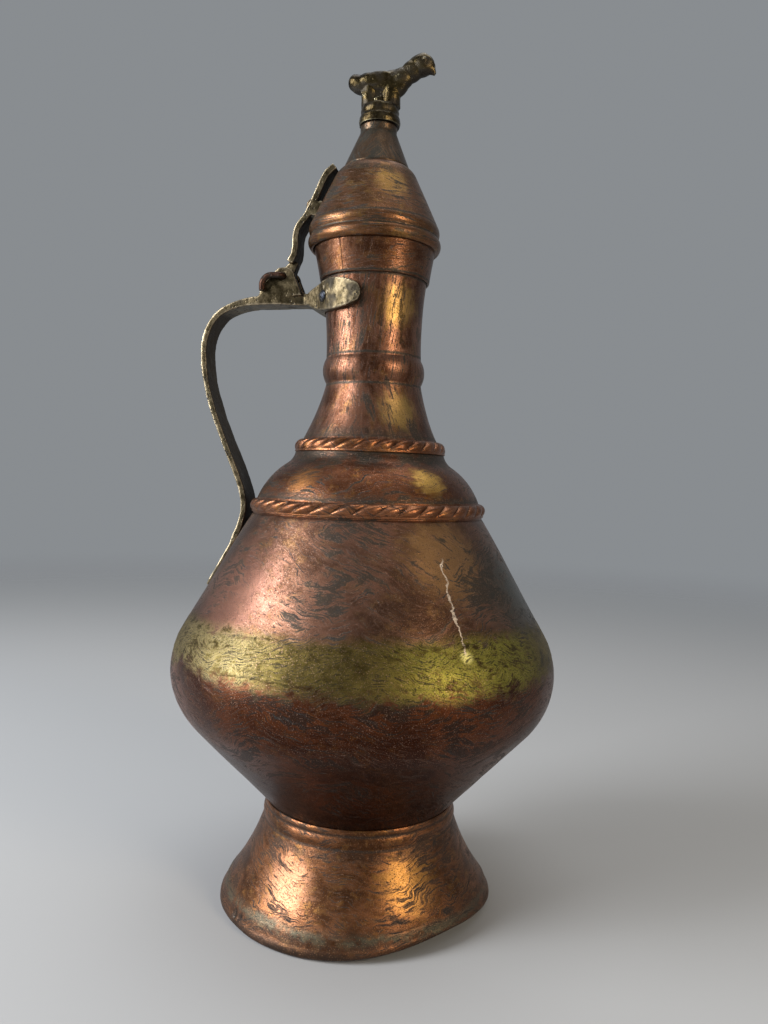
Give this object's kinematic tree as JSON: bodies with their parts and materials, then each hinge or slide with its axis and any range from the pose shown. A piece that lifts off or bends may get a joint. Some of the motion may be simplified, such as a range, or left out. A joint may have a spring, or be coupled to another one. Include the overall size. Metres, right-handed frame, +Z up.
{
  "type": "lidded copper jug",
  "caption": "Tall lidded jug of riveted and brazed copper sheet on a flared foot, with a cast brass strap handle, a hinged conical lid and a cast bird finial.",
  "frame": {"origin": "on the jug's axis at the plane that the foot's rolled rim rests on", "axes": "+Z up along the jug's axis, the handle and the lid's hinge on the -X side, the hinge pin along Y"},
  "size_m": [0.159, 0.159, 0.35],
  "materials": {
    "hammered_copper": "hammered copper sheet with brown patina and worn bright places",
    "cast_brass": "rough cast brass, worn pale on the edges, dark in the hollows",
    "dark_cast_brass": "dark olive-brown cast brass with bright rubbed spots",
    "braze": "thin yellow-green skin of braze with ragged edges",
    "solder": "dull grey soft solder",
    "iron": "dark forged iron with brown rust",
    "brass_rivet": "hammered brass rivet heads, dark round the edge"
  },
  "bodies": {
    "jug": {"foot_skirt": "hammered_copper", "foot_rim_wire": "iron", "foot_solder_ring": "solder", "lower_bowl": "hammered_copper", "belly_braze_seam": "braze", "upper_body": "hammered_copper", "shoulder_rope_ring": "hammered_copper", "shoulder_dome": "hammered_copper", "neck_rope_ring": "hammered_copper", "neck_tube": "hammered_copper", "neck_band": "hammered_copper", "handle": "cast_brass", "neck_rivets": "iron", "handle_base_rivets": "brass_rivet", "hinge_pin": "iron"},
    "lid": {"lid_strap": "cast_brass", "lid_strap_rivets": "brass_rivet", "lid_cone": "hammered_copper", "lid_cap": "hammered_copper", "lid_sleeve": "hammered_copper", "bird_finial": "dark_cast_brass", "finial_washer": "hammered_copper"}
  },
  "joints": [
    {"name": "lid_hinge", "type": "hinge", "parent": "jug", "child": "lid", "pos_m": [-0.038, 0, 0.259], "axis": [0, -1, 0], "range_deg": [0, 105]}
  ]
}
